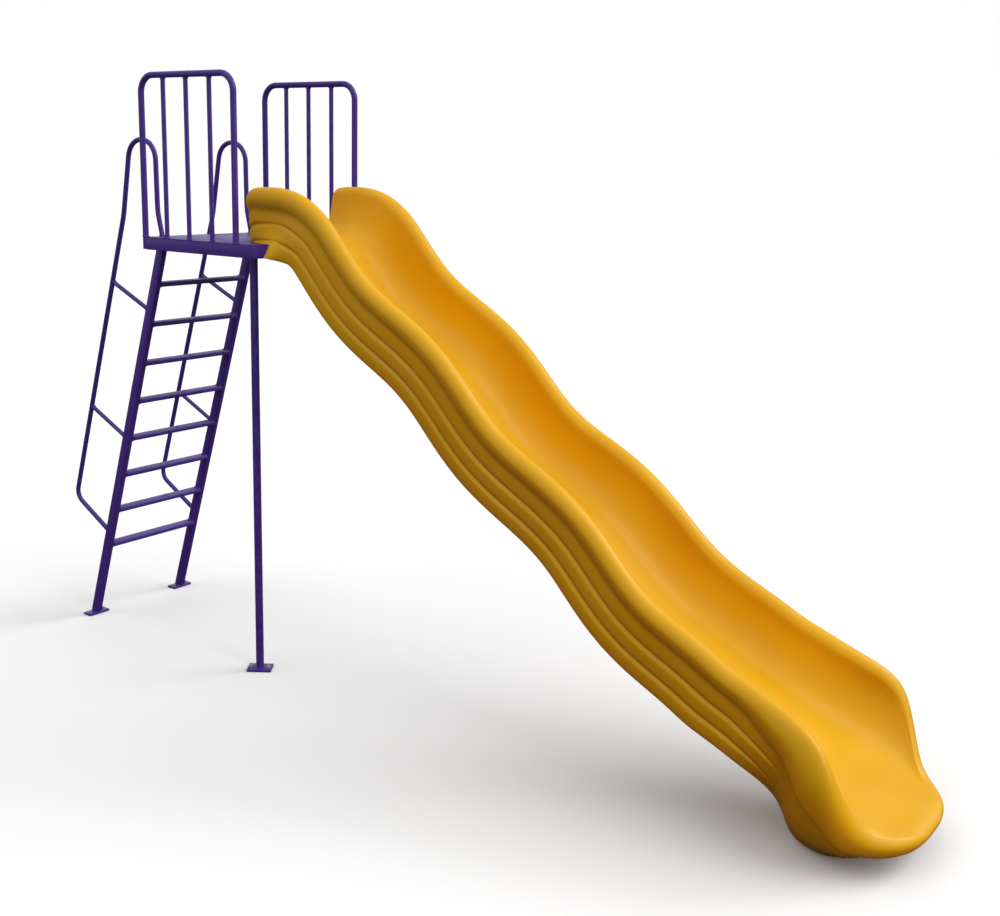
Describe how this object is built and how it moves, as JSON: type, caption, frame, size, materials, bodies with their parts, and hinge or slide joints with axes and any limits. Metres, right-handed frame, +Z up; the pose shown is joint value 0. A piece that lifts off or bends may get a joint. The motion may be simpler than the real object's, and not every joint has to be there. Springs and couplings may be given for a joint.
{
  "type": "wave playground slide",
  "caption": "Free-standing playground slide: a yellow moulded wave chute on a purple painted steel ladder, deck, guard rails and a single post.",
  "frame": {"origin": "on the ground, below the middle of the bounding box", "axes": "+X from the ladder to the chute's exit, +Z up; -Y is the side with the single post"},
  "size_m": [4.0198, 0.79, 2.4937],
  "materials": {
    "moulded_yellow": "glossy moulded plastic",
    "purple_paint": "satin powder coat"
  },
  "bodies": {
    "root": {"chute": "moulded_yellow", "deck_plate": "purple_paint", "deck_beam_near": "purple_paint", "deck_beam_far": "purple_paint", "deck_beam_rear": "purple_paint", "deck_beam_front": "purple_paint", "deck_cross_beam": "purple_paint", "stringer_near": "purple_paint", "stringer_far": "purple_paint", "tread_1": "purple_paint", "tread_2": "purple_paint", "tread_3": "purple_paint", "tread_4": "purple_paint", "tread_5": "purple_paint", "tread_6": "purple_paint", "tread_7": "purple_paint", "tread_8": "purple_paint", "foot_plate_near": "purple_paint", "foot_plate_far": "purple_paint", "foot_plate_post": "purple_paint", "post": "purple_paint", "guard_hoop_near": "purple_paint", "guard_hoop_far": "purple_paint", "guard_bar_near_1": "purple_paint", "guard_bar_near_2": "purple_paint", "guard_bar_near_3": "purple_paint", "guard_bar_far_1": "purple_paint", "guard_bar_far_2": "purple_paint", "guard_bar_far_3": "purple_paint", "handrail_near": "purple_paint", "handrail_far": "purple_paint", "handrail_strut_near_1": "purple_paint", "handrail_strut_near_2": "purple_paint", "handrail_strut_far_1": "purple_paint", "handrail_strut_far_2": "purple_paint"}
  },
  "joints": []
}
